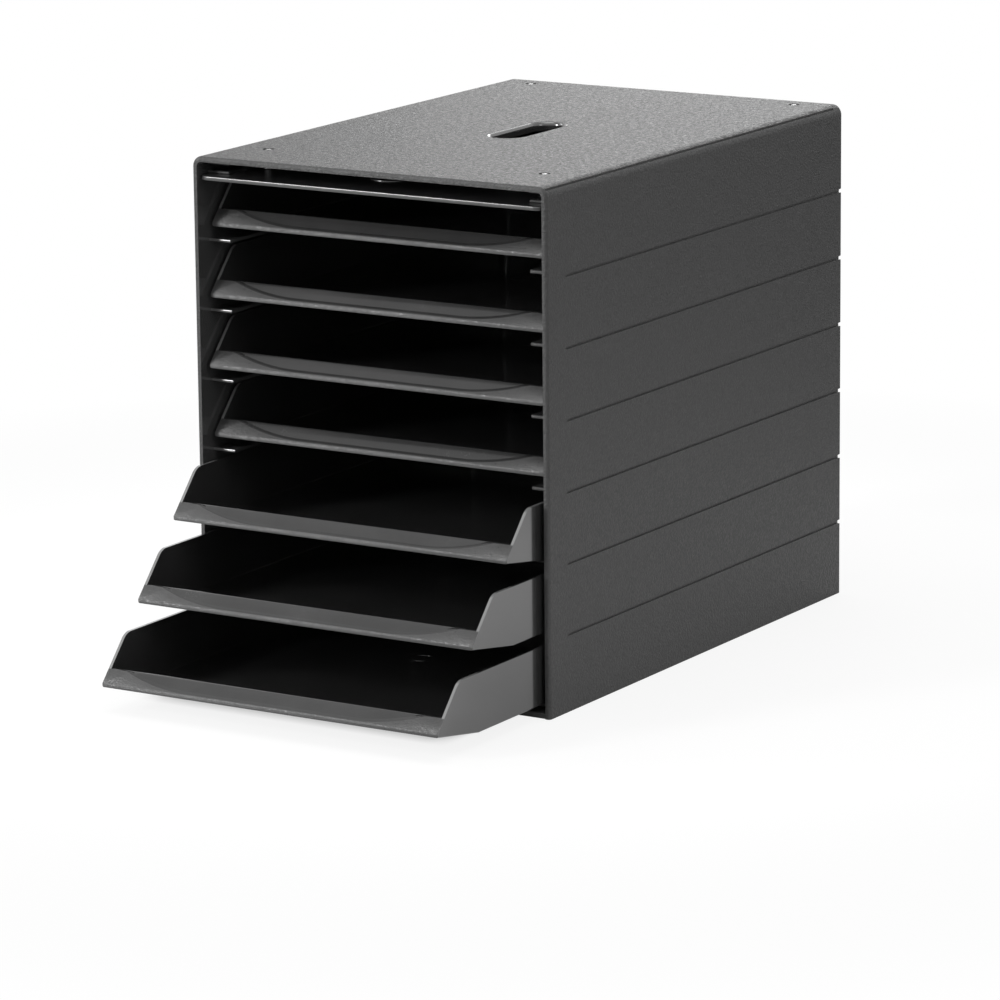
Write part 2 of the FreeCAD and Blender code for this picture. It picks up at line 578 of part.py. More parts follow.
# Bottom panel between the side panels, with recesses for its screws underneath
def make_bottom_panel():
    panel = new_body("bottom_panel")
    plan = place_sketch(panel, "plan", "XY_Plane")
    rectangle(plan, f"-{W}inner_half", f"-{W}half_depth", f"{W}inner_half", f"{W}half_depth")
    pad(panel, "plate", plan, f"{S}base_thickness")
    round_edges(panel, "front_edge", f"{S}base_edge_radius",
                lambda middle, edge: near(middle.y, -value(f"{W}half_depth"))
                and near(middle.z, 0))
    recesses = place_sketch(panel, "recess_view", "XY_Plane")
    holes = place_sketch(panel, "hole_view", "XY_Plane")
    for x in ("", "-"):
        for y in ("", "-"):
            place = (f"{x}{W}base_screw_side", f"{y}{W}base_screw_place")
            circle(recesses, *place, f"{S}recess_diameter")
            circle(holes, *place, f"{W}hole_diameter")
    pocket(panel, "recesses", recesses, f"{S}recess_depth", reverse=True)
    pocket(panel, "screw_holes", holes, f"{S}base_thickness", reverse=True)
    return panel


# Rear panel, held in the slots of the side panels between the bottom panel and the cover
def make_rear_panel():
    panel = new_body("rear_panel")
    edge = f"{W}inner_half + {S}rear_slot_depth - {S}rear_slot_gap"
    plan = place_sketch(panel, "plan", "XY_Plane", f"{S}base_thickness")
    rectangle(plan, f"-({edge})", f"{W}rear_face", edge, f"{W}half_depth - {S}rear_lip")
    pad(panel, "plate", plan, f"{W}cover_underside - {S}base_thickness")

    # Its upper corners make way for the rounded corners of the case
    for hand, sign in ((1, ""), (-1, "-")):
        view = place_sketch(panel, "corner_view", "XZ_Plane")
        clear = f"{W}corner_x - {S}rear_slot_gap"
        rectangle(view, f"{sign}({clear})", f"{W}corner_z - {S}rear_slot_gap",
                  f"{sign}({W}outer_half + {S}overrun)", f"{W}case_height + {S}overrun")
        pocket(panel, "corner_room", view, f"{W}case_depth", symmetric=True)
    return panel


# Screws: a bevelled round head with a drive recess, on a plain shank
def primitive(kind, name, **formulas):
    solid = doc.addObject(f"Part::{kind}", name)
    bind(solid, **formulas)
    return solid


def make_screws(name, places, shank, head_up):
    group = doc.addObject("Part::Compound", name)
    group.Label = name
    screws = []
    for number, (x, y, seat) in enumerate(places, start=1):
        base_height = f"{S}head_height - {S}head_bevel"
        head = primitive("Cylinder", f"{name}_head_{number}",
                         Radius=f"{S}head_diameter / 2", Height=base_height)
        crown = primitive("Cone", f"{name}_crown_{number}", Radius1=f"{S}head_diameter / 2",
                          Radius2=f"{S}head_diameter / 2 - {S}head_bevel", Height=f"{S}head_bevel",
                          **{"Placement.Base.z": base_height})
        stem = primitive("Cylinder", f"{name}_shank_{number}", Radius=f"{S}screw_diameter / 2",
                         Height=shank, **{"Placement.Base.z": f"-{shank}"})
        drive = primitive("Prism", f"{name}_drive_{number}", Polygon=f"{S}drive_sides",
                          Circumradius=f"{S}drive_diameter / 2",
                          Height=f"{S}drive_depth + {S}overrun",
                          **{"Placement.Base.z": f"{S}head_height - {S}drive_depth"})
        body = doc.addObject("Part::MultiFuse", f"{name}_body_{number}")
        body.Shapes = [head, crown, stem]
        screw = doc.addObject("Part::Cut", f"{name}_{number}")
        screw.Base = body
        screw.Tool = drive
        if not head_up:
            screw.Placement = FreeCAD.Placement(Vector(), FreeCAD.Rotation(Vector(1, 0, 0), 180))
        bind(screw, **{"Placement.Base.x": x, "Placement.Base.y": y, "Placement.Base.z": seat})
        screws.append(screw)
    group.Links = screws
    doc.recompute()
    return group


# The assembly
nodes = [make_top_cover(), make_hand_shelf(), make_side_panel("right_side_panel", 1),
         make_side_panel("left_side_panel", -1), make_bottom_panel(), make_rear_panel()]
nodes += [make_tray(number) for number, pull in enumerate(PULLED_OUT, start=1)]
cover_places = [(f"{side}{W}screw_side", f"{W}{row}", f"{W}case_height - {S}recess_depth")
                for side in ("", "-") for row in ("screw_front", "screw_rear")]
base_places = [(f"{x}{W}base_screw_side", f"{y}{W}base_screw_place", f"{S}recess_depth")
               for x in ("", "-") for y in ("", "-")]
nodes.append(make_screws("cover_screws", cover_places, f"{S}screw_length", True))
nodes.append(make_screws("base_screws", base_places, f"{S}base_screw_length", False))

# Checks, and one file for each node
doc.recompute()
for item in doc.Objects:
    if "Invalid" in item.State or "Error" in item.State:
        raise RuntimeError(f"{item.Label} is in state {item.State}")
for node in nodes:
    if node.Shape.isNull() or not node.Shape.isValid():
        raise RuntimeError(f"{node.Label} has no valid shape")
os.makedirs("parts", exist_ok=True)
for node in nodes:
    node.Shape.exportStep(f"parts/{node.Label}.step")
    box = node.Shape.BoundBox
    print(f"{node.Label}: {len(node.Shape.Solids)} solids, {node.Shape.Volume / 1000:.1f} cm3,"
          f" x {box.XMin:.1f}..{box.XMax:.1f} y {box.YMin:.1f}..{box.YMax:.1f}"
          f" z {box.ZMin:.1f}..{box.ZMax:.1f}")
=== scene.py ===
# %% [markdown]
# # A letter tray stack, dressed for the camera
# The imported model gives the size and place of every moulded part. This lesson rebuilds the
# parts that show with rounded edges, because real mouldings have no knife edges and the thin
# bright lines along them are what makes plastic look like plastic. Then every part gets its
# finish, and a white studio is set up around them.

import math

import bmesh
import bpy
from mathutils import Matrix, Vector


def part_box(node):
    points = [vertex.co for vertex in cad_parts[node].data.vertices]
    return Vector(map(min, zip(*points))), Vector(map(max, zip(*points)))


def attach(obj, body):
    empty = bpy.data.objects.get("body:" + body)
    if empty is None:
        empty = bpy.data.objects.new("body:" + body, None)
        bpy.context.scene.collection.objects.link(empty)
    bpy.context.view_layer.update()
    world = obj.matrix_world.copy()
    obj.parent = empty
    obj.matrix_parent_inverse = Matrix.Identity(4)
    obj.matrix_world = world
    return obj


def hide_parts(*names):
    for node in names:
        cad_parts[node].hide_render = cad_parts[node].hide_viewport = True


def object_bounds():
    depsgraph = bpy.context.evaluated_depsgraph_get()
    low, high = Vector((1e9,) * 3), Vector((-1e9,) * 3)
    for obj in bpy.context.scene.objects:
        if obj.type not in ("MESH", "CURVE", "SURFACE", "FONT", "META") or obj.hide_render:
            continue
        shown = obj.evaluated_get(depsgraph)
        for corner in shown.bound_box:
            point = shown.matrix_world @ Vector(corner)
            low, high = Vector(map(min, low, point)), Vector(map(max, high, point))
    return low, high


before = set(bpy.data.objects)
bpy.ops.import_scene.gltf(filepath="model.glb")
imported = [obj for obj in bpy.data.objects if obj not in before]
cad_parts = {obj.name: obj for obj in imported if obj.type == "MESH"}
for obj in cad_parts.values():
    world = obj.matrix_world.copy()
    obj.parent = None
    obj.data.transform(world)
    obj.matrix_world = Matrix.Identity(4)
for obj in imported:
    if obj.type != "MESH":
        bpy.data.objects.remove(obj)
cad_low, cad_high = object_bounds()
MM = 0.001
TRAYS = [f"tray_{number}" for number in range(1, 8)]
print("CAD box in mm:", [round(v / MM, 1) for v in (*cad_low, *cad_high)])

# %% [markdown]
# The case stands with the middle of its underside at the origin and its open front towards -Y.
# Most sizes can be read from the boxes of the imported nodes, so a change of the CAD model is
# followed here. What a box can't tell, such as a wall thickness, is written once below.

# %% Sizes of the case
shelf_low, shelf_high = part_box("hand_shelf")
base_low, base_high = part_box("bottom_panel")
rear_low, rear_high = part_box("rear_panel")
side_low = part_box("right_side_panel")[0]
HALF_DEPTH = cad_high.y
HALF_WIDTH = cad_high.x
CASE_TOP = cad_high.z
WALL = HALF_WIDTH - base_high.x
INNER_HALF = base_high.x
COVER_UNDER = CASE_TOP - WALL
CORNER_INNER = 3.0 * MM
CORNER_OUTER = CORNER_INNER + WALL
CORNER_X = INNER_HALF - CORNER_INNER
CORNER_Z = COVER_UNDER - CORNER_INNER
FRONT_ROUNDING = 2.0 * MM
SOFT_EDGE = 0.35 * MM
print(f"wall {WALL / MM:.2f} mm, cover underside at {COVER_UNDER / MM:.1f} mm")

# %% [markdown]
# ## Helpers for modelling by hand
# The operators work on whatever is selected, so each step first picks its faces or edges by
# their place. The helpers below add a block, pick parts of it, run a modifier and apply it.
# They keep the later cells short enough to read like a list of workshop steps.

# %% Helpers: start, pick and finish
CLOSE_BY = 0.05 * MM
DOUBLE_GAP = 0.001 * MM


def deselect():
    if bpy.context.mode != "OBJECT":
        bpy.ops.object.mode_set(mode="OBJECT")
    bpy.ops.object.select_all(action="DESELECT")


def activate(piece):
    deselect()
    piece.select_set(True)
    bpy.context.view_layer.objects.active = piece


def settle(piece):
    """Put the piece's place, turn and size into its mesh."""
    activate(piece)
    bpy.ops.object.transform_apply(location=True, rotation=True, scale=True)
    return piece


def block(name, low, high):
    """A box between two corners, in metres, ready to be shaped."""
    deselect()
    low, high = Vector(low), Vector(high)
    bpy.ops.mesh.primitive_cube_add(size=1, location=(low + high) / 2, scale=high - low)
    piece = bpy.context.object
    piece.name = name
    return settle(piece)


def pick(piece, kind, rule):
    """Go to edit mode and select what the rule accepts.

    The rule is given a corner's place, an edge's middle and direction, or a face's middle and
    normal.
    """
    activate(piece)
    bpy.ops.object.mode_set(mode="EDIT")
    bpy.ops.mesh.select_mode(type=kind)
    bpy.ops.mesh.select_all(action="DESELECT")
    shape = bmesh.from_edit_mesh(piece.data)
    found = 0
    for item in {"VERT": shape.verts, "EDGE": shape.edges, "FACE": shape.faces}[kind]:
        if kind == "VERT":
            chosen = rule(item.co)
        elif kind == "EDGE":
            a, b = (v.co for v in item.verts)
            chosen = rule((a + b) / 2, (b - a).normalized())
        else:
            chosen = rule(item.calc_center_median(), item.normal)
        item.select_set(chosen)
        found += chosen
    shape.select_flush_mode()
    bmesh.update_edit_mesh(piece.data)
    if not found:
        raise ValueError(f"{piece.name}: nothing picked")
    return found


def near(a, b, within=CLOSE_BY):
    return abs(a - b) < within


def everywhere(middle, normal):
    return True


def tidy(piece, gap=DOUBLE_GAP):
    """Merge doubles and point every face outwards."""
    pick(piece, "FACE", everywhere)
    bpy.ops.mesh.remove_doubles(threshold=gap)
    bpy.ops.mesh.dissolve_degenerate(threshold=gap)
    bpy.ops.mesh.normals_make_consistent(inside=False)
    deselect()
    return piece


def round_edges(piece, radius, rule, segments=4):
    pick(piece, "EDGE", rule)
    bpy.ops.mesh.bevel(offset=radius, segments=segments, affect="EDGES", clamp_overlap=True)
    deselect()


def use_modifier(piece, kind, **settings):
    activate(piece)
    modifier = piece.modifiers.new(kind.lower(), kind)
    for name, setting in settings.items():
        setattr(modifier, name, setting)
    bpy.ops.object.modifier_apply(modifier=modifier.name)
    return piece


def soften(piece, width=SOFT_EDGE, segments=2, angle=35):
    """Round every remaining sharp edge a little."""
    return use_modifier(piece, "BEVEL", width=width, segments=segments, limit_method="ANGLE",
                        angle_limit=math.radians(angle), miter_outer="MITER_ARC")


def volume(piece):
    """The piece's volume in cubic centimetres."""
    shape = bmesh.new()
    shape.from_mesh(piece.data)
    cubic_metres = shape.calc_volume(signed=True)
    shape.free()
    return round(cubic_metres * 1e6, 2)


def carve(piece, tool, operation="DIFFERENCE"):
    """Cut the tool out of the piece, or weld it on, and throw the tool away."""
    print(f"{piece.name} {volume(piece)} cm3, {operation.lower()} {tool.name} {volume(tool)} cm3")
    use_modifier(piece, "BOOLEAN", object=tool, operation=operation, solver="EXACT")
    bpy.data.objects.remove(tool)
    return piece


def weld(piece, tool):
    return carve(piece, tool, "UNION")


def join(name, pieces):
    activate(pieces[0])
    for piece in pieces:
        piece.select_set(True)
    bpy.ops.object.join()
    bpy.context.object.name = name
    return bpy.context.object


def copy_of(piece, name, shift=(0, 0, 0), mirror=False):
    """A copy with its own mesh, moved or mirrored left to right."""
    twin = piece.copy()
    twin.data = piece.data.copy()
    twin.name = name
    bpy.context.scene.collection.objects.link(twin)
    twin.data.transform(Matrix.Translation(Vector(shift)))
    if mirror:
        twin.data.transform(Matrix.Scale(-1, 4, (1, 0, 0)))
        twin.data.flip_normals()
    return twin


def smooth(piece, angle=50):
    """Shade the roundings smoothly, and let the large faces keep their own direction."""
    activate(piece)
    bpy.ops.object.shade_smooth_by_angle(angle=math.radians(angle))
    use_modifier(piece, "WEIGHTED_NORMAL", keep_sharp=True, weight=100)
    print(f"{piece.name}: {len(piece.data.polygons)} faces")
    return piece


# %% [markdown]
# ## Shader maths as sums
# A material is a network of nodes, which is hard to read as a list of links. The small class
# below stands for one output socket. Adding or multiplying it adds the Math node for that sum,
# so a pattern can be written as a formula. Finish is one material with its main shader.

# %% Helpers: signals and finishes
class Signal:
    """One output socket that can be used in sums."""

    def __init__(self, finish, socket):
        self.finish, self.socket = finish, socket

    def maths(self, operation, first, second=0.0):
        return self.finish.node("Math", {"operation": operation}, {0: first, 1: second})

    def __add__(self, other): return self.maths("ADD", self, other)
    def __sub__(self, other): return self.maths("SUBTRACT", self, other)
    def __mul__(self, other): return self.maths("MULTIPLY", self, other)
    def __rsub__(self, other): return self.maths("SUBTRACT", other, self)
    __radd__, __rmul__ = __add__, __mul__


class Network:
    """A tree of shader nodes, with one method that adds any node."""

    def __init__(self, tree):
        self.tree = tree

    def node(self, kind, settings=None, sockets=None, out=0):
        made = self.tree.nodes.new("ShaderNode" + kind)
        for name, value in (settings or {}).items():
            setattr(made, name, value)
        for name, value in (sockets or {}).items():
            if isinstance(value, Signal):
                self.tree.links.new(value.socket, made.inputs[name])
            else:
                made.inputs[name].default_value = value
        return Signal(self, made.outputs[out])


class Finish(Network):
    """A material: patterns feed the few shader sockets that may change over a surface."""

    def __init__(self, name, **constants):
        self.material = bpy.data.materials.new(name)
        self.material.use_nodes = True
        super().__init__(self.material.node_tree)
        self.shader = self.tree.nodes["Principled BSDF"]
        self.place = self.node("TexCoord", out="Object")
        for socket, value in constants.items():
            self.shader.inputs[socket.replace("_", " ")].default_value = value

    def noise(self, size, detail, rough=0.5):
        """Soft noise whose patches are about as wide as size, in metres."""
        return self.node("TexNoise", None, {"Vector": self.place, "Scale": 1 / size,
                                            "Detail": detail, "Roughness": rough})

    def cells(self, size):
        """Round cells about as wide as size, dark in the middle, with soft borders."""
        return self.node("TexVoronoi", {"feature": "SMOOTH_F1"},
                         {"Vector": self.place, "Scale": 1 / size, "Smoothness": 0.6}, "Distance")

    def ramp(self, signal, low, high):
        """0 below low, 1 above high and straight in between."""
        return self.node("MapRange", None, {"Value": signal, "From Min": low, "From Max": high}, 0)

    def blend(self, amount, dark, light):
        return self.node("Mix", {"data_type": "RGBA"}, {0: amount, 6: dark, 7: light}, 2)

    def feed(self, **inputs):
        for name, value in inputs.items():
            self.tree.links.new(value.socket, self.shader.inputs[name.replace("_", " ")])

    def relief(self, height, depth):
        """A bump whose full height is depth, in metres."""
        self.feed(Normal=self.node("Bump", None, {"Height": height, "Distance": depth}))


def grey(value):
    return (value, value, value, 1.0)


# %% [markdown]
# ## Finish of the case: grained charcoal plastic
# Case panels come out of an etched mould, so they carry a fine leather-like grain that hides
# scratches. An image of real grain could be wrapped around them, but patterns need no picture
# and no unwrapping, and they are as sharp from near as from far. Two layers make the relief:
# round cells about a millimetre wide, and finer noise over them. Wider pits make some spots
# paler and duller than others, which gives the mottled look of a face that light just grazes.

# %% Finish: grained plastic
PLASTIC_IOR = 1.5
FINE_SHARE, PIT_SHARE = 0.45, 2.2
TONE_SPREAD, ROUGH_SPREAD = 0.35, 0.2


def make_grained(name, shade, grain, depth, rough):
    """Shade and rough are middle values, grain is the width of a cell."""
    finish = Finish(name, IOR=PLASTIC_IOR)
    cells = finish.cells(grain)
    fine = finish.noise(grain * FINE_SHARE, detail=2.0)
    pits = finish.noise(grain * PIT_SHARE, detail=4.0, rough=0.7)
    height = cells * 0.6 + fine * 0.6
    finish.relief(height, depth)
    tone = finish.ramp(fine * 0.4 + pits * 0.6, 0.35, 0.65)
    dull = finish.ramp(height * 0.4 + pits * 0.6, 0.35, 0.65)
    finish.feed(Base_Color=finish.blend(tone, grey(shade * (1 - TONE_SPREAD)),
                                        grey(shade * (1 + TONE_SPREAD))),
                Roughness=dull * (2 * ROUGH_SPREAD) + (rough - ROUGH_SPREAD))
    return finish.material


case_plastic = make_grained("case_grained_plastic", 0.034, 1.4 * MM, 0.5 * MM, 0.46)
print("finish made:", case_plastic.name)

# %% [markdown]
# ## Finish of the trays: smooth charcoal plastic
# The trays slide, so their mould is polished and the plastic is smoother and glossier. It isn't
# a mirror: a faint orange peel bends the reflections and rubbed patches dull them. A clear coat
# over the base gives the sharp sheen of a polished mould, and without it the scoop in the lip
# stays duller. The lip around the scoop is grained. The rims of the side walls are coloured pale,
# a painted highlight for the bright lines along them. So one tray wears four finishes.

# %% Finish: smooth and lip plastic
GLOSS_IOR, COAT_ROUGHNESS = 1.65, 0.08
PEEL_WIDTH, RUB_WIDTH, SPECK_WIDTH = 9 * MM, 38 * MM, 0.5 * MM


def make_smooth(name, shade, rough, peel=0.02 * MM, ior=GLOSS_IOR, coat=1.0):
    """Shade and rough are middle values, peel is the depth of the orange peel."""
    finish = Finish(name, IOR=ior, Coat_Weight=coat, Coat_Roughness=COAT_ROUGHNESS)
    wave = finish.noise(PEEL_WIDTH, detail=1.0)
    rubbed = finish.ramp(finish.noise(RUB_WIDTH, detail=4.0, rough=0.6), 0.35, 0.7)
    specks = finish.noise(SPECK_WIDTH, detail=2.0)
    finish.relief(wave * 0.8 + specks * 0.2, peel)
    finish.feed(Base_Color=finish.blend(rubbed, grey(shade * 0.9), grey(shade * 1.12)),
                Roughness=rubbed * 0.04 + specks * 0.06 + (rough - 0.04))
    return finish.material


tray_plastic = make_smooth("tray_smooth_plastic", 0.028, 0.17)
lip_plastic = make_grained("tray_lip_grain", 0.028, 0.9 * MM, 0.15 * MM, 0.42)
# The rims' pale colour is a painted highlight for the bright lines along them.
rim_painted_highlight = make_smooth("tray_rim_painted_highlight", 0.15, 0.2)
scoop_plastic = make_smooth("tray_scoop_plastic", 0.026, 0.24, ior=PLASTIC_IOR, coat=0.0)
shelf_plastic = make_smooth("shelf_smooth_plastic", 0.030, 0.34)
gloss_plastic = make_smooth("collar_gloss_plastic", 0.030, 0.12, 0.01 * MM)
# The inside finish is coloured paler than the outside: painted light for the shaded inside of the
# case.
inner_plastic_painted_lighter = make_smooth("case_inner_painted_lighter", 0.052, 0.22)
print("finishes made for trays, lips, rims, scoops, shelf, collar and inner walls")

# %% [markdown]
# ## Finish of the screws: steel with painted shade
# The heads are coloured nearly black, a painted shade for the shadowed recess around them, and
# only the middle of the head, with the cross recess, is bare steel that shines. Faint rings from
# the turning of the head would need each screw's own centre, so fine noise stands for the wear,
# which is all that shows on a head less than six millimetres wide. One function makes the dark and
# the bare steel.

# %% Finish: steel painted dark and bare steel
WEAR_WIDTH, WEAR_DEPTH = 0.6 * MM, 0.01 * MM


def make_steel(name, shade, rough):
    finish = Finish(name, Metallic=1.0)
    wear = finish.noise(WEAR_WIDTH, detail=3.0)
    finish.relief(wear, WEAR_DEPTH)
    finish.feed(Base_Color=finish.blend(wear, grey(shade * 0.8), grey(shade * 1.2)),
                Roughness=finish.ramp(wear, 0.3, 0.7) * 0.15 + rough)
    return finish.material


# Nearly black steel: a painted shade for the recess around each head.
steel_painted_dark = make_steel("screw_steel_painted_shade", 0.012, 0.3)
bright_steel = make_steel("screw_bare_steel", 0.6, 0.18)
print("finishes made:", steel_painted_dark.name, "and", bright_steel.name)

# %% [markdown]
# ## From mould to node
# A finished piece is given its materials and the moving body it rides on, and the imported node
# that it stands for is hidden.

# %% Helper: dress a piece
def dress(piece, body, slot, node, *materials):
    """Give a finished piece its materials and the body it rides on, and hide the CAD node it stands
    for.
    """
    for material in materials:
        piece.data.materials.append(material)
    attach(piece, body)
    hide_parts(node)
    return piece


# %% [markdown]
# ## The trays
# Each tray is one thin moulding: floor, two sides, a rear wall and a low lip that leans back.
# Outside and inside are shaped as two blocks, and the inner one is cut out of the outer one.
# Solidify on a single skin was the other way, but it turns the open rims square to the skin,
# and here they have to stay level and flush.

# %% Tray: sizes
tray_low, tray_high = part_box("tray_1")
TRAY_TOP = tray_high.z - tray_low.z
TRAY_LENGTH = tray_high.y - tray_low.y
TRAY_HALF = 118.6 * MM
TRAY_WALL = 1.8 * MM
TIP_RISE = 7.3 * MM
NOSE_LEVEL = TIP_RISE + 2.4 * MM
RIDGE_LEVEL = TIP_RISE + 9.9 * MM
RAMP = 45.0 * MM
FRONT_RUN = 23.9 * MM
LIP_DEPTH = 2.5 * MM
SHOULDER = 9.6 * MM
REAR_ROUNDING = 5.0 * MM
FLOOR_ROUNDING = 1.0 * MM
LUG_REACH = 2.2 * MM
lean = math.atan(FRONT_RUN / (TRAY_TOP - NOSE_LEVEL))
print(f"tray {TRAY_LENGTH / MM:.1f} mm long, its sides lean back {math.degrees(lean):.1f} degrees")


def leaning(level):
    """How far behind the tip the leaning front stands at a height."""
    return (level - NOSE_LEVEL) * math.tan(lean)


# %% Tray: outside block with a rising underside and a leaning front
def move(piece, kind, rule, shift):
    pick(piece, kind, rule)
    bpy.ops.transform.translate(value=shift)
    deselect()


def slice_faces(piece, rule, point, normal):
    pick(piece, "FACE", rule)
    bpy.ops.mesh.bisect(plane_co=point, plane_no=normal)
    deselect()


def in_front(middle, normal):
    return near(middle.y, 0)


tray = block("tray_outside", (-TRAY_HALF, 0, 0), (TRAY_HALF, TRAY_LENGTH, TRAY_TOP))
slice_faces(tray, everywhere, (0, RAMP, 0), (0, 1, 0))
slice_faces(tray, in_front, (0, 0, NOSE_LEVEL), (0, 0, 1))
slice_faces(tray, in_front, (0, 0, RIDGE_LEVEL), (0, 0, 1))
move(tray, "VERT", lambda at: near(at.y, 0) and near(at.z, 0), (0, 0, TIP_RISE))
for level in (RIDGE_LEVEL, TRAY_TOP):
    move(tray, "VERT", lambda at: near(at.y, 0) and near(at.z, level), (0, leaning(level), 0))
print("outside block:", len(tray.data.vertices), "corners")

# %% [markdown]
# The shoulder, where the leaning edge meets the top, is rounded as one edge across the block, so
# both sides get the same curve. A bevel is set by how far it reaches along each face, which for
# a round of radius r is r times the tangent of half the turn.

# %% Tray: roundings of the outside
round_edges(tray, SHOULDER * math.tan((math.pi / 2 - lean) / 2),
            lambda m, d: near(m.y, FRONT_RUN) and near(m.z, TRAY_TOP) and abs(d.x) > 0.9, 8)
round_edges(tray, REAR_ROUNDING, lambda m, d: near(m.y, TRAY_LENGTH) and abs(d.z) > 0.9, 6)


def low_outline(middle, direction):
    at_side = near(abs(middle.x), TRAY_HALF)
    at_rear = middle.y > TRAY_LENGTH - REAR_ROUNDING
    return middle.z < TIP_RISE - MM and (at_side or at_rear) and abs(direction.z) < 0.5


round_edges(tray, FLOOR_ROUNDING, low_outline, 3)
print("rounded outside:", len(tray.data.vertices), "corners")

# %% [markdown]
# The inside block follows the floor, the ramp and the back of the lip. Above the ridge it runs
# out through the front, and that opens the tray.

# %% Tray: inside block, then the cut
OUT = 6 * MM
HEEL_ROUNDING = 1.2 * MM
heel = LIP_DEPTH + leaning(TIP_RISE + TRAY_WALL)
heel /= 1 + math.tan(lean) * TIP_RISE / RAMP
heel_level = TIP_RISE * (1 - heel / RAMP) + TRAY_WALL
room = block("tray_inside", (-TRAY_HALF + TRAY_WALL, RAMP, TRAY_WALL),
             (TRAY_HALF - TRAY_WALL, TRAY_LENGTH - TRAY_WALL, TRAY_TOP + OUT))
slice_faces(room, everywhere, (0, 0, RIDGE_LEVEL), (0, 0, 1))
ridge_rear = leaning(RIDGE_LEVEL) + LIP_DEPTH
pick(room, "FACE", lambda m, n: n.y < -0.9)
bpy.ops.mesh.extrude_region_move(TRANSFORM_OT_translate={"value": (0, ridge_rear - RAMP, 0)})
deselect()
move(room, "VERT", lambda at: near(at.y, ridge_rear) and near(at.z, TRAY_WALL),
     (0, heel - ridge_rear, heel_level - TRAY_WALL))
pick(room, "FACE", lambda m, n: n.y < -0.9 and m.z > RIDGE_LEVEL)
bpy.ops.mesh.extrude_region_move(TRANSFORM_OT_translate={"value": (0, -OUT - ridge_rear, 0)})
deselect()
round_edges(room, REAR_ROUNDING - TRAY_WALL,
            lambda m, d: near(m.y, TRAY_LENGTH - TRAY_WALL) and abs(d.z) > 0.9, 6)


def floor_outline(middle, direction):
    at_side = near(abs(middle.x), TRAY_HALF - TRAY_WALL)
    at_rear = middle.y > TRAY_LENGTH - REAR_ROUNDING
    low = middle.z < TIP_RISE and middle.y > RAMP / 2
    return low and (at_side or at_rear) and abs(direction.z) < 0.5


round_edges(room, HEEL_ROUNDING, floor_outline, 3)
carve(tray, room)
print("tray shell:", len(tray.data.polygons), "faces")

# %% [markdown]
# Each side carries a small lug near the rear, which meets a stop in the case. The lip's face is
# sunk a little in a long shallow scoop whose ends curve up. Its tool is pared down with
# straight cuts, like whittling, and three insets with different slopes give it soft edges.

# %% Tray: stop lugs and the scoop in the lip
LUG_FRONT, LUG_REAR = TRAY_LENGTH - 16 * MM, TRAY_LENGTH - 8 * MM
LUG_LOW, LUG_HIGH = 12 * MM, 24 * MM
lugs = block("lugs", (-TRAY_HALF - LUG_REACH, LUG_FRONT, LUG_LOW),
             (TRAY_HALF + LUG_REACH, LUG_REAR, LUG_HIGH))
carve(lugs, block("lug_gap", (-TRAY_HALF + MM, 0, 0), (TRAY_HALF - MM, TRAY_LENGTH, TRAY_TOP)))
weld(tray, lugs)


def pare(piece, point, normal):
    """Cut everything away on the side that the normal points to."""
    pick(piece, "FACE", everywhere)
    bpy.ops.mesh.bisect(plane_co=point, plane_no=normal, use_fill=True, clear_outer=True)
    deselect()


SCOOP_MARGIN = 0.8 * MM
SCOOP_END = TRAY_HALF * 0.91
SCOOP_FLAT = TRAY_HALF * 0.48
SCOOP_PAST_RIDGE, SCOOP_STRAIGHT = 6 * MM, 5 * MM
SCOOP_CUTS, SCOOP_THICKNESS = 9, 2 * MM
SCOOP_SLOPES = ((0.7 * MM, 0.1 * MM), (1.1 * MM, 0.35 * MM), (0.6 * MM, 0.15 * MM))
scoop_top = (RIDGE_LEVEL - NOSE_LEVEL) / math.cos(lean) + SCOOP_PAST_RIDGE
SLIVER_GAP = 0.01 * MM
scoop = block("scoop", (-SCOOP_END, -SCOOP_THICKNESS, SCOOP_MARGIN), (SCOOP_END, 0, scoop_top))
rise = scoop_top - SCOOP_STRAIGHT - SCOOP_MARGIN
bow = ((SCOOP_END - SCOOP_FLAT) ** 2 + rise ** 2) / (2 * rise)
sweep = math.asin((SCOOP_END - SCOOP_FLAT) / bow)
for cut in range(SCOOP_CUTS + 1):
    turn = sweep * (cut + 0.5) / SCOOP_CUTS
    for hand in (1, -1):
        away = Vector((hand * math.sin(turn), 0, -math.cos(turn)))
        pare(scoop, Vector((hand * SCOOP_FLAT, 0, SCOOP_MARGIN + bow)) + away * bow, away)
for reach, depth in SCOOP_SLOPES:
    pick(scoop, "FACE", lambda m, n: n.y > 0.99)
    bpy.ops.mesh.inset(thickness=reach, depth=depth)
    deselect()
scoop.rotation_euler.x = -lean
scoop.location.z = NOSE_LEVEL
carve(tray, settle(scoop))
tidy(soften(tray), SLIVER_GAP)
print("tray with scoop:", len(tray.data.polygons), "faces")

# %% [markdown]
# The mould leaves a shallow ring in the middle of the floor. A torus that is sunk to its middle
# cuts it in one go. Then every face gets one of the four finishes, chosen by where it lies and
# which way it faces. The lip is told by its distance from the leaning plane through the tip: its
# own faces lie in that plane, and the scoop's lie less than a millimetre behind it.

# %% Tray: ring in the floor and the four finishes
RING_RADIUS, RING_GROOVE = 6.9 * MM, 0.6 * MM
ON_PLANE = 0.02 * MM
POLISHED, GRAINED, PAINTED_HIGHLIGHT, DULL = range(4)
deselect()
bpy.ops.mesh.primitive_torus_add(location=(0, TRAY_LENGTH / 2, TRAY_WALL),
                                 major_radius=RING_RADIUS, minor_radius=RING_GROOVE,
                                 major_segments=64, minor_segments=12)
carve(tray, bpy.context.object)
lip_normal = Vector((0, -math.cos(lean), math.sin(lean)))
tip = Vector((0, 0, NOSE_LEVEL))
for material in (tray_plastic, lip_plastic, rim_painted_highlight, scoop_plastic):
    tray.data.materials.append(material)


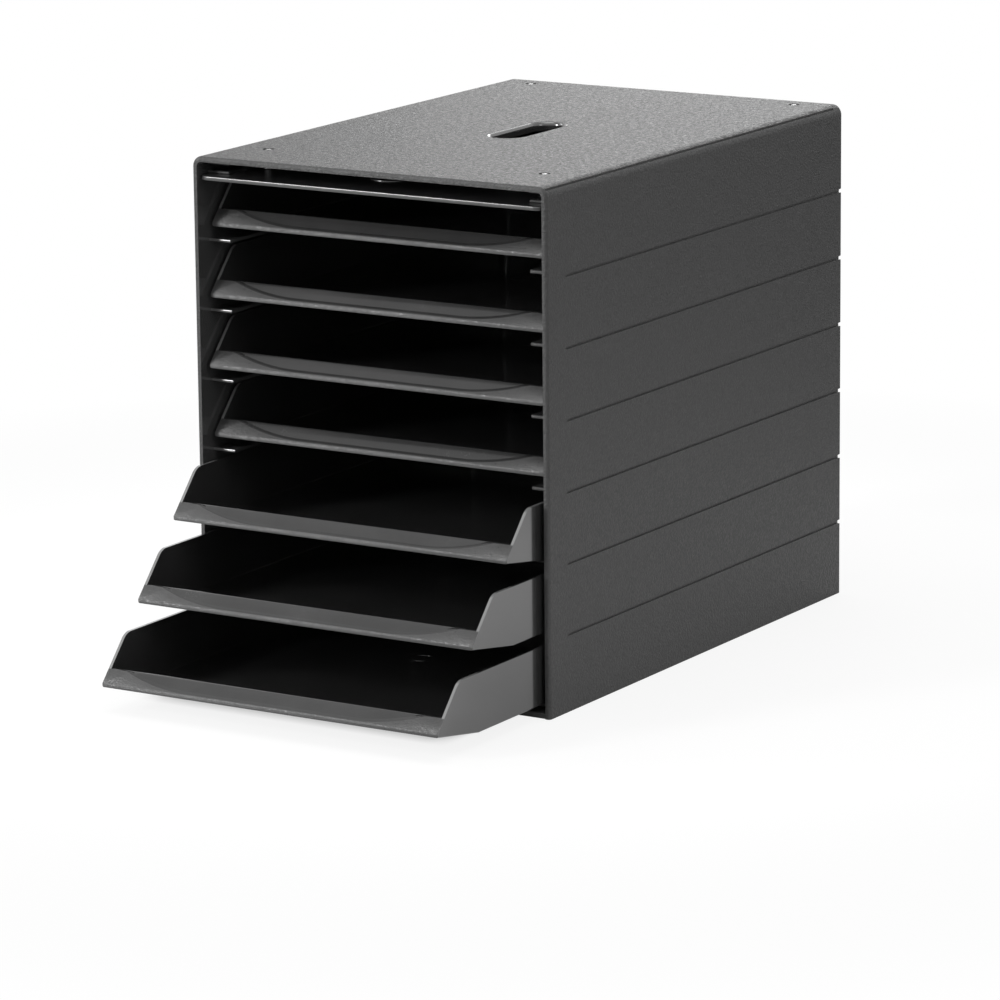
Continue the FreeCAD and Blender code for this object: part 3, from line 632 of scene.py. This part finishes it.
def tray_finish(middle, normal):
    """Which of the four finishes a face of the tray gets."""
    gap = (middle - tip).dot(lip_normal)
    facing = normal.dot(lip_normal)
    on_rim = near(abs(middle.x), TRAY_HALF - TRAY_WALL / 2, TRAY_WALL / 4)
    if middle.z < RIDGE_LEVEL:
        if -MM < gap < -ON_PLANE and facing > 0.8:
            return DULL
        if abs(gap) < ON_PLANE and facing > 0.99:
            return GRAINED
    # The tops of the side-wall rims get the pale painted highlight.
    elif on_rim and normal.z > 0.5:
        return PAINTED_HIGHLIGHT
    return GRAINED if near(middle.y, 0) and normal.y < -0.99 else POLISHED


for face in tray.data.polygons:
    face.material_index = tray_finish(face.center, face.normal)
smooth(tray)

# %% Tray: seven copies
for name in TRAYS:
    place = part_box(name)[0]
    piece = copy_of(tray, name + "_moulding", (0, place.y, place.z))
    dress(piece, name, "tray_plastic", name)
    print(piece.name, "tip at", round(place.y / MM, 1), "mm")
bpy.data.objects.remove(tray)

# %% [markdown]
# ## The side panels
# A side panel is a flat wall whose top turns in by an eighth of a circle, where it meets the
# cover at a seam. The wall starts as a block and the bend is spun from its top face. Grooves
# are cut in the outside, one above each tray, and inside are the runners, ribs and stops.

# %% Side panel: wall with the bent top and rounded front
FOOT_ROUNDING = 1.2 * MM
OUTLINE_BAND = 0.2 * MM


def spin_end(piece, rule, centre_x, turn):
    """Sweep an end face about a corner's centre line, an eighth of a circle."""
    pick(piece, "FACE", rule)
    bpy.ops.mesh.spin(steps=6, angle=math.radians(turn), center=(centre_x, 0, CORNER_Z),
                      axis=(0, 1, 0))
    deselect()


def front_outline(middle, direction):
    """Edges of the case's front face that lie on its outside."""
    from_corner = math.hypot(max(abs(middle.x) - CORNER_X, 0), max(middle.z - CORNER_Z, 0))
    return near(middle.y, -HALF_DEPTH) and abs(from_corner - CORNER_OUTER) < OUTLINE_BAND


side = block("side", (INNER_HALF, -HALF_DEPTH, 0), (HALF_WIDTH, HALF_DEPTH, CORNER_Z))
spin_end(side, lambda m, n: n.z > 0.9, CORNER_X, 45)
tidy(side)
round_edges(side, FRONT_ROUNDING, front_outline, 4)
round_edges(side, FOOT_ROUNDING, lambda m, d: near(m.z, 0) and near(m.x, HALF_WIDTH), 3)
print("bent top reaches", round(max(v.co.z for v in side.data.vertices) / MM, 2), "mm")

# %% Side panel: grooves outside
PITCH = 43.4 * MM
LEVELS = [base_high.z + 4.4 * MM + PITCH * step for step in range(len(TRAYS))]
GROOVE_DROP, GROOVE_DEPTH, GROOVE_HALF = 3.7 * MM, 0.9 * MM, 0.75 * MM
GROOVE_FRONT, FLARE_LENGTH = -161 * MM, 6 * MM
FLARE_WIDER, FLARE_DEEPER = 1.1 * MM, 1.2 * MM
grooves = []
for level in LEVELS[1:]:
    middle = level - GROOVE_DROP
    groove = block("groove", (HALF_WIDTH - GROOVE_DEPTH, GROOVE_FRONT, middle - GROOVE_HALF),
                   (HALF_WIDTH + OUT, HALF_DEPTH + OUT, middle + GROOVE_HALF))
    slice_faces(groove, everywhere, (0, HALF_DEPTH - FLARE_LENGTH, 0), (0, 1, 0))
    move(groove, "VERT", lambda at: at.y > HALF_DEPTH and at.z > middle, (0, 0, FLARE_WIDER))
    move(groove, "VERT", lambda at: at.y > HALF_DEPTH and at.z < middle, (0, 0, -FLARE_WIDER))
    move(groove, "VERT", lambda at: at.y > HALF_DEPTH and at.x < HALF_WIDTH,
         (-FLARE_DEEPER, 0, 0))
    grooves.append(groove)
carve(side, join("grooves", grooves))
print("grooves at", [round((level - GROOVE_DROP) / MM, 1) for level in LEVELS[1:]], "mm")

# %% Side panel: seam under the cover and slot for the rear panel
SEAM_DEPTH, SEAM_FRONT, SEAM_REAR = 0.95 * MM, 2.2 * MM, 7.5 * MM
REAR_GAP, REAR_SLOT_DEPTH = 0.2 * MM, 1.5 * MM
seam_x, seam_z = (at + (CORNER_OUTER - SEAM_DEPTH) * math.sqrt(0.5) for at in (CORNER_X, CORNER_Z))


def seam_tool():
    return block("seam", (seam_x, -HALF_DEPTH + SEAM_FRONT, seam_z),
                 (seam_x + OUT, HALF_DEPTH - SEAM_REAR, seam_z + OUT))


carve(side, seam_tool())
carve(side, block("rear_slot", (INNER_HALF - OUT, rear_low.y - REAR_GAP, -OUT),
                  (INNER_HALF + REAR_SLOT_DEPTH, rear_high.y + REAR_GAP, CORNER_Z)))

# %% [markdown]
# The runners are flat ribs, and their front ends are rounded where the light catches them. All
# ribs are sunk a little into the wall and welded to it, so that the corner between them and
# the wall can be softened with the rest.

# %% Side panel: flange, runners, ribs and stops
RUNNER_REACH = INNER_HALF - side_low.x
RUNNER_THICKNESS, RUNNER_GAP = 2.2 * MM, 0.3 * MM
RIB_FRONT, RIB_REAR = -HALF_DEPTH + 12 * MM, rear_low.y - MM
RIB_NOSE = 0.85 * MM
SHELF_THICKNESS, SHELF_RIB, COVER_RIB = 2.5 * MM, 1.8 * MM, 3.2 * MM
STOP_LOW, STOP_HIGH = 12 * MM, 22 * MM
STOP_FRONT, STOP_REAR = -63.6 * MM, -57.6 * MM


def rib(low, high, reach=RUNNER_REACH, front=RIB_FRONT, rear=RIB_REAR):
    made = block("rib", (INNER_HALF - reach, front, low), (INNER_HALF + MM, rear, high))
    round_edges(made, RIB_NOSE, lambda m, d: near(m.y, front) and abs(d.x) > 0.9, 4)
    return made


ribs = [rib(base_high.z, LEVELS[0] - RUNNER_GAP)]
for level in LEVELS[1:]:
    ribs.append(rib(level - RUNNER_GAP - RUNNER_THICKNESS, level - RUNNER_GAP))
shelf_top = shelf_low.z + SHELF_THICKNESS
ribs.append(rib(shelf_top, shelf_top + SHELF_RIB))
ribs.append(rib(COVER_UNDER - COVER_RIB, COVER_UNDER))
for level in LEVELS:
    ribs.append(rib(level + STOP_LOW, level + STOP_HIGH, LUG_REACH, STOP_FRONT, STOP_REAR))
weld(side, join("ribs", ribs))
print("ribs:", len(ribs))

# %% [markdown]
# The left panel is the right one mirrored, once all its edges are softened. Outside, both are
# grained. Inside they are smooth and coloured paler than outside, painted light for the shaded
# inside of the case, and the light from the front left draws small white glints on the front ends
# of the left runners. The ends of the right runners and of the pocket's ribs keep the darker,
# duller grained finish of the outside, so they show no glint.

# %% Side panel: soft edges, mirror image and finishes
ON_WALL, RIB_END = 0.01 * MM, 2 * MM


def is_smooth_inside(middle, normal):
    inside = abs(middle.x) < INNER_HALF + ON_WALL and abs(normal.y) < 0.9
    on_rib = abs(middle.x) < INNER_HALF - MM
    low_rib = on_rib and middle.z < shelf_low.z
    at_front = middle.y < RIB_FRONT + RIB_END
    if at_front and on_rib and (middle.x > 0 or not low_rib):
        return False
    return inside or low_rib


soften(side)
left = copy_of(side, "left_side_moulding", mirror=True)
side.name = "right_side_moulding"
for panel, node in ((side, "right_side_panel"), (left, "left_side_panel")):
    tidy(panel)
    for material in (case_plastic, inner_plastic_painted_lighter):
        panel.data.materials.append(material)
    for face in panel.data.polygons:
        face.material_index = int(is_smooth_inside(face.center, face.normal))
    smooth(panel)
    dress(panel, "case", "case_plastic", node)

# %% [markdown]
# ## The top cover
# The cover is a plate whose two long edges bend down to the seams. In its middle is the carry
# slot, lined by a collar that hangs a little under the plate. A slot with round ends is a
# cylinder whose two halves are moved apart.

# %% Top cover: plate, bends and front rounding
cover = block("top_cover_moulding", (-CORNER_X, -HALF_DEPTH, COVER_UNDER),
              (CORNER_X, HALF_DEPTH, CASE_TOP))
for hand in (1, -1):
    spin_end(cover, lambda m, n: n.x * hand > 0.9 and near(m.x, hand * CORNER_X),
             hand * CORNER_X, hand * -45)
tidy(cover)
round_edges(cover, FRONT_ROUNDING, front_outline, 4)
print("cover plate:", len(cover.data.polygons), "faces")

# %% Top cover: carry slot with its collar
SLOT_RADIUS = 11.2 * MM
SLOT_SPREAD = 23.5 * MM
SLOT_ROUNDING = 2.4 * MM
SLOT_X = 2.0 * MM
COLLAR_WALL, COLLAR_HANG = 1.8 * MM, 2.2 * MM
COLLAR_FOOT = COVER_UNDER - COLLAR_HANG
SLOT_SIDES, SLOT_BAND = 64, 0.1 * MM


def stadium(name, radius, low, high):
    """An upright block with round ends: a cylinder with its halves moved apart."""
    deselect()
    bpy.ops.mesh.primitive_cylinder_add(vertices=SLOT_SIDES, radius=radius, depth=high - low,
                                        location=(SLOT_X, 0, (low + high) / 2),
                                        rotation=(0, 0, math.pi / SLOT_SIDES))
    piece = bpy.context.object
    piece.name = name
    settle(piece)
    for half in (1, -1):
        move(piece, "VERT", lambda at: at.y * half > 0, (0, half * SLOT_SPREAD, 0))
    return piece


weld(cover, stadium("collar", SLOT_RADIUS + COLLAR_WALL, COLLAR_FOOT, COVER_UNDER + MM))
carve(cover, stadium("carry_slot", SLOT_RADIUS, COLLAR_FOOT - OUT, CASE_TOP + OUT))


def by_slot(middle):
    from_slot = math.hypot(middle.x - SLOT_X, max(abs(middle.y) - SLOT_SPREAD, 0))
    return from_slot < SLOT_RADIUS + SLOT_ROUNDING + SLOT_BAND


round_edges(cover, SLOT_ROUNDING, lambda m, d: near(m.z, CASE_TOP) and by_slot(m), 8)

# %% [markdown]
# Four screws hold the cover. Each sits in a round recess that is a little deeper than its head,
# so nothing stands above the plate. All recesses are cut at once: their rods are joined into one
# tool, and one cut leaves cleaner edges than four.

# %% Top cover: screw recesses
SCREW_X, SCREW_FRONT, SCREW_REAR = 98.0 * MM, -139.4 * MM, 169.0 * MM
BASE_SCREW_X, BASE_SCREW_Y = 114.0 * MM, 142.5 * MM
COVER_SCREWS = [(x, y) for x in (SCREW_X, -SCREW_X) for y in (SCREW_FRONT, SCREW_REAR)]
BASE_SCREWS = [(x, y) for x in (BASE_SCREW_X, -BASE_SCREW_X)
               for y in (BASE_SCREW_Y, -BASE_SCREW_Y)]
RECESS_RADIUS, RECESS_DEPTH, BORE_RADIUS = 3.6 * MM, 1.6 * MM, 1.6 * MM


def rod(name, radius, place, low, high, sides=48):
    deselect()
    bpy.ops.mesh.primitive_cylinder_add(vertices=sides, radius=radius, depth=high - low,
                                        location=(*place, (low + high) / 2))
    bpy.context.object.name = name
    return settle(bpy.context.object)


def rods(radius, places, low, high):
    return join("rods", [rod("rod", radius, place, low, high) for place in places])


carve(cover, rods(RECESS_RADIUS, COVER_SCREWS, CASE_TOP - RECESS_DEPTH, CASE_TOP + OUT))
carve(cover, rods(BORE_RADIUS, COVER_SCREWS, COVER_UNDER - OUT, CASE_TOP))

# %% Top cover: seams, soft edges and the glossy slot
for hand in (1, -1):
    tool = seam_tool()
    if hand < 0:
        tool.scale.x = -1
        tidy(settle(tool))
    carve(cover, tool)
soften(cover)
for material in (case_plastic, gloss_plastic):
    cover.data.materials.append(material)
for face in cover.data.polygons:
    face.material_index = int(by_slot(face.center) and face.normal.z < 0.95)
smooth(cover)
dress(cover, "case", "case_plastic", "top_cover")

# %% [markdown]
# ## The hand shelf
# This thin shelf closes the case under the cover and leaves a flat pocket above it. Its front
# corners are well rounded, four bosses on it take the cover's screws, and a low round disc lies
# behind its front edge. Bosses and disc start a little inside the plate, because two solids
# that only touch don't weld.

# %% Hand shelf
SHELF_CORNER, SHELF_EDGE = 6 * MM, 0.5 * MM
BOSS_RADIUS = 3.5 * MM
DISC_RADIUS, DISC_RISE, DISC_EDGE = 13 * MM, MM, 0.6 * MM
DISC_PLACE = (-12 * MM, -135 * MM)
shelf = block("hand_shelf_moulding", shelf_low, (shelf_high.x, shelf_high.y, shelf_top))
round_edges(shelf, SHELF_CORNER, lambda m, d: near(m.y, shelf_low.y) and abs(d.z) > 0.9, 8)
weld(shelf, rods(BOSS_RADIUS, COVER_SCREWS, shelf_low.z + MM, shelf_high.z))
carve(shelf, rods(BORE_RADIUS, COVER_SCREWS, shelf_top, shelf_high.z + OUT))
soften(shelf, width=SHELF_EDGE)
disc = rod("disc", DISC_RADIUS, DISC_PLACE, shelf_low.z + MM, shelf_top + DISC_RISE, 96)
weld(shelf, soften(disc, width=DISC_EDGE))
smooth(shelf)
dress(shelf, "case", "case_plastic", "hand_shelf", shelf_plastic)

# %% [markdown]
# ## Bottom and rear panel
# Both are flat plates. The bottom panel has its screws sunk in recesses from below. The rear
# panel stands in the slots of the side panels, with its upper corners cut away for the bends.

# %% Bottom and rear panel
bottom = block("bottom_moulding", base_low, base_high)
round_edges(bottom, FOOT_ROUNDING, lambda m, d: near(m.z, 0) and near(m.y, -HALF_DEPTH), 3)
carve(bottom, rods(RECESS_RADIUS, BASE_SCREWS, -OUT, RECESS_DEPTH))
carve(bottom, rods(BORE_RADIUS, BASE_SCREWS, 0, base_high.z + OUT))
smooth(soften(bottom))
dress(bottom, "case", "case_plastic", "bottom_panel", case_plastic)

rear = block("rear_moulding", rear_low, rear_high)
for hand in (1, -1):
    left_x, right_x = sorted((hand * (CORNER_X - REAR_GAP), hand * (HALF_WIDTH + OUT)))
    carve(rear, block("corner", (left_x, rear_low.y - OUT, CORNER_Z - REAR_GAP),
                      (right_x, rear_high.y + OUT, CASE_TOP + OUT)))
smooth(soften(rear))
dress(rear, "case", "case_plastic", "rear_panel", case_plastic)

# %% [markdown]
# ## The screws
# A domed head with a cross recess on a plain shank. The cross is two crossed bars, narrowed
# towards their foot, that are welded and then cut out of the head. Each length is modelled once,
# head up at the origin, and copied to its four places, upside down for the bottom panel.

# %% Screws: one of them
HEAD_RADIUS, HEAD_HEIGHT, HEAD_DOME = 2.8 * MM, 1.5 * MM, 1.35 * MM
HEAD_EDGE, SHANK_RADIUS = 0.12 * MM, 1.45 * MM
BAR_LONG, BAR_WIDE, BAR_TAPER = 1.2 * MM, 0.3 * MM, 0.1 * MM
CROSS_FLOOR, CROSS_TOP = 0.6 * MM, 2 * MM
BARE_RADIUS, BARE_FLOOR = 1.5 * MM, 0.5 * MM


def make_screw(shank):
    screw = rod("screw", HEAD_RADIUS, (0, 0), 0, HEAD_HEIGHT)
    round_edges(screw, HEAD_DOME, lambda m, d: near(m.z, HEAD_HEIGHT) and abs(d.z) < 0.1, 6)
    weld(screw, rod("shank", SHANK_RADIUS, (0, 0), -shank, MM))
    bars = []
    for long, wide in ((BAR_LONG, BAR_WIDE), (BAR_WIDE, BAR_LONG)):
        bar = block("bar", (-long, -wide, CROSS_FLOOR), (long, wide, CROSS_TOP))
        move(bar, "VERT", lambda at: at.z < MM and at.x > 0, (-BAR_TAPER, 0, 0))
        bars.append(bar)
    carve(screw, weld(bars[0], bars[1]))
    soften(screw, width=HEAD_EDGE)
    for material in (steel_painted_dark, bright_steel):
        screw.data.materials.append(material)
    # Away from the middle, the head gets the near-black painted shade; the middle is bare steel.
    for face in screw.data.polygons:
        near_axis = math.hypot(face.center.x, face.center.y) < BARE_RADIUS
        face.material_index = int(near_axis and face.center.z > BARE_FLOOR)
    return screw


# %% Screws: four in the cover and four in the bottom panel
COVER_SHANK, BASE_SHANK = 7.0 * MM, 5.2 * MM


def set_screws(name, node, places, seat, shank, head_up):
    model = make_screw(shank)
    if not head_up:
        model.rotation_euler.x = math.pi
        settle(model)
    copies = [copy_of(model, "screw_copy", (x, y, seat)) for x, y in places]
    bpy.data.objects.remove(model)
    screws = join(name, copies)
    smooth(screws)
    return dress(screws, "case", "screw_steel", node)


set_screws("cover_screw_set", "cover_screws", COVER_SCREWS, CASE_TOP - RECESS_DEPTH,
           COVER_SHANK, head_up=True)
set_screws("base_screw_set", "base_screws", BASE_SCREWS, RECESS_DEPTH, BASE_SHANK, head_up=False)

# %% [markdown]
# ## Camera
# The camera was fitted to the long edges of the object in the photograph. It looks down on the
# open front and the right side from more than three metres away, and it leans half a degree.
# Three numbers say how it is turned, and its right, up and ahead directions are worked out from
# them. That is easier to fit than a tracking constraint, which can't lean.

# %% Camera
YAW, PITCH, ROLL = (math.radians(angle) for angle in (31.610, 12.754, -0.560))
DISTANCE, LENS = 3261.5 * MM, 193.86
AIM_RIGHT, AIM_UP = 76.716 * MM, 117.371 * MM
SENSOR, NEAREST, FARTHEST = 36, 0.05, 50
ahead = Vector((-math.sin(YAW) * math.cos(PITCH), math.cos(YAW) * math.cos(PITCH),
                -math.sin(PITCH)))
level_right = Vector((math.cos(YAW), math.sin(YAW), 0))
level_up = level_right.cross(ahead)
cam_right = level_right * math.cos(ROLL) + level_up * math.sin(ROLL)
cam_up = level_up * math.cos(ROLL) - level_right * math.sin(ROLL)
aim = cam_right * AIM_RIGHT + cam_up * AIM_UP + Vector((0, -HALF_DEPTH, 0))
camera = bpy.data.objects.new("camera", bpy.data.cameras.new("camera"))
bpy.context.scene.collection.objects.link(camera)
camera.matrix_world = (Matrix.Translation(aim - ahead * DISTANCE)
                       @ Matrix((cam_right, cam_up, -ahead)).transposed().to_4x4())
camera.data.lens = LENS
camera.data.sensor_width = SENSOR
camera.data.clip_start, camera.data.clip_end = NEAREST, FARTHEST
bpy.context.scene.camera = camera
print("camera at", [round(v, 3) for v in camera.location], "lens", round(LENS, 1))

# %% [markdown]
# ## White studio
# Dark plastic looks right only with something pale to mirror. The floor is whitened for the
# camera alone, by mixing white light into what camera rays see, so that it adds no light to the
# object. It is whitened less where the real shadow lies, close to the case and most of all
# under the pulled out trays. Far from the case the floor itself is darker, which keeps it from
# lighting the sides too much.

# %% Floor
FLOOR_SIZE, FLOOR_DROP = 14, 0.3 * MM
PALE, FAR_GREY = grey(0.90), grey(0.20)
FAR_START, FAR_END = 420 * MM, 900 * MM
WHITE_START, WHITE_END = 450 * MM, 800 * MM
NEAR_WHITENING, UNDER_TRAYS = 0.86, 0.6
SHADOW_START, SHADOW_FULL = cad_low.y + 34 * MM, cad_low.y + 60 * MM
SHADOW_REAR, SHADOW_SIDE, SHADOW_CORE = -HALF_DEPTH + 30 * MM, 101 * MM, 84 * MM
deselect()
bpy.ops.mesh.primitive_plane_add(size=FLOOR_SIZE, location=(0, 0, -FLOOR_DROP))
floor = settle(bpy.context.object)
floor.name = "floor"
paint = Finish("floor_white", Roughness=0.9)
paint.shader.inputs["Specular IOR Level"].default_value = 0.0
from_middle = paint.node("VectorMath", {"operation": "LENGTH"}, {0: paint.place}, "Value")
paint.feed(Base_Color=paint.blend(paint.ramp(from_middle, FAR_START, FAR_END), PALE, FAR_GREY))
seen = paint.node("LightPath", out="Is Camera Ray")
along = paint.node("SeparateXYZ", None, {0: paint.place}, "Y")
across = paint.node("SeparateXYZ", None, {0: paint.place}, "X")
under = (paint.ramp(along, SHADOW_START, SHADOW_FULL) * paint.ramp(across, SHADOW_SIDE, SHADOW_CORE)
         * paint.ramp(along, SHADOW_REAR, -HALF_DEPTH))
outer = paint.ramp(from_middle, WHITE_START, WHITE_END)
whiten = seen * (NEAR_WHITENING + (1 - NEAR_WHITENING) * outer - UNDER_TRAYS * under)
white = paint.node("Emission", None, {"Color": (1, 1, 1, 1), "Strength": 1.0})
lit = Signal(paint, paint.shader.outputs["BSDF"])
ground = paint.node("MixShader", None, {0: whiten, 1: lit, 2: white})
paint.tree.links.new(ground.socket, paint.tree.nodes["Material Output"].inputs["Surface"])
floor.data.materials.append(paint.material)
print("floor", FLOOR_SIZE, "m wide")

# %% [markdown]
# The world is plain white in reflections, so every glancing surface picks up a soft grey, but
# it lights the object less than that. Five soft lamps do the rest. The strongest stands at the
# front left and draws the bright lines on rounded edges and runners, while the pale tray rims are
# a painted highlight. One behind the case skims the top and shows its grain, and the others lift
# the trays, the right side and the floor's shadow.

# %% World and lamps
SKY_LIGHT = 0.6
LIT_PLACE = Vector((0, -50 * MM, 150 * MM))
world = bpy.data.worlds.new("studio")
bpy.context.scene.world = world
world.use_nodes = True
sky = Network(world.node_tree)
background = world.node_tree.nodes["Background"]
background.inputs["Color"].default_value = (1, 1, 1, 1)
soft_light = sky.node("LightPath", out="Is Diffuse Ray")
sky_strength = 1 - soft_light * (1 - SKY_LIGHT)
world.node_tree.links.new(sky_strength.socket, background.inputs["Strength"])
bpy.context.scene.view_settings.view_transform = "Standard"


def lamp(name, azimuth, elevation, distance, size, power):
    """A soft square lamp. Azimuth 0 is in front of the open side and 90 is on the right."""
    turn, rise = math.radians(azimuth), math.radians(elevation)
    way = Vector((math.sin(turn) * math.cos(rise), -math.cos(turn) * math.cos(rise),
                  math.sin(rise)))
    light = bpy.data.objects.new(name, bpy.data.lights.new(name, "AREA"))
    light.data.shape = "RECTANGLE"
    light.data.size, light.data.size_y = size
    light.data.energy = power
    light.location = LIT_PLACE + way * distance
    light.rotation_euler = (-way).to_track_quat("-Z", "Y").to_euler()
    bpy.context.scene.collection.objects.link(light)
    return light


lamp("back_lamp", 198, 24, 1.5, (0.9, 0.6), 3.8)
lamp("front_left_lamp", -34, 19, 2.4, (0.45, 1.0), 42)
lamp("left_lamp", -84, 39, 2.4, (0.6, 0.6), 6)
lamp("right_lamp", 75, 20, 2.4, (0.8, 0.8), 6)
lamp("overhead_lamp", 0, 88, 2.4, (1.6, 1.6), 18)
print("studio ready")
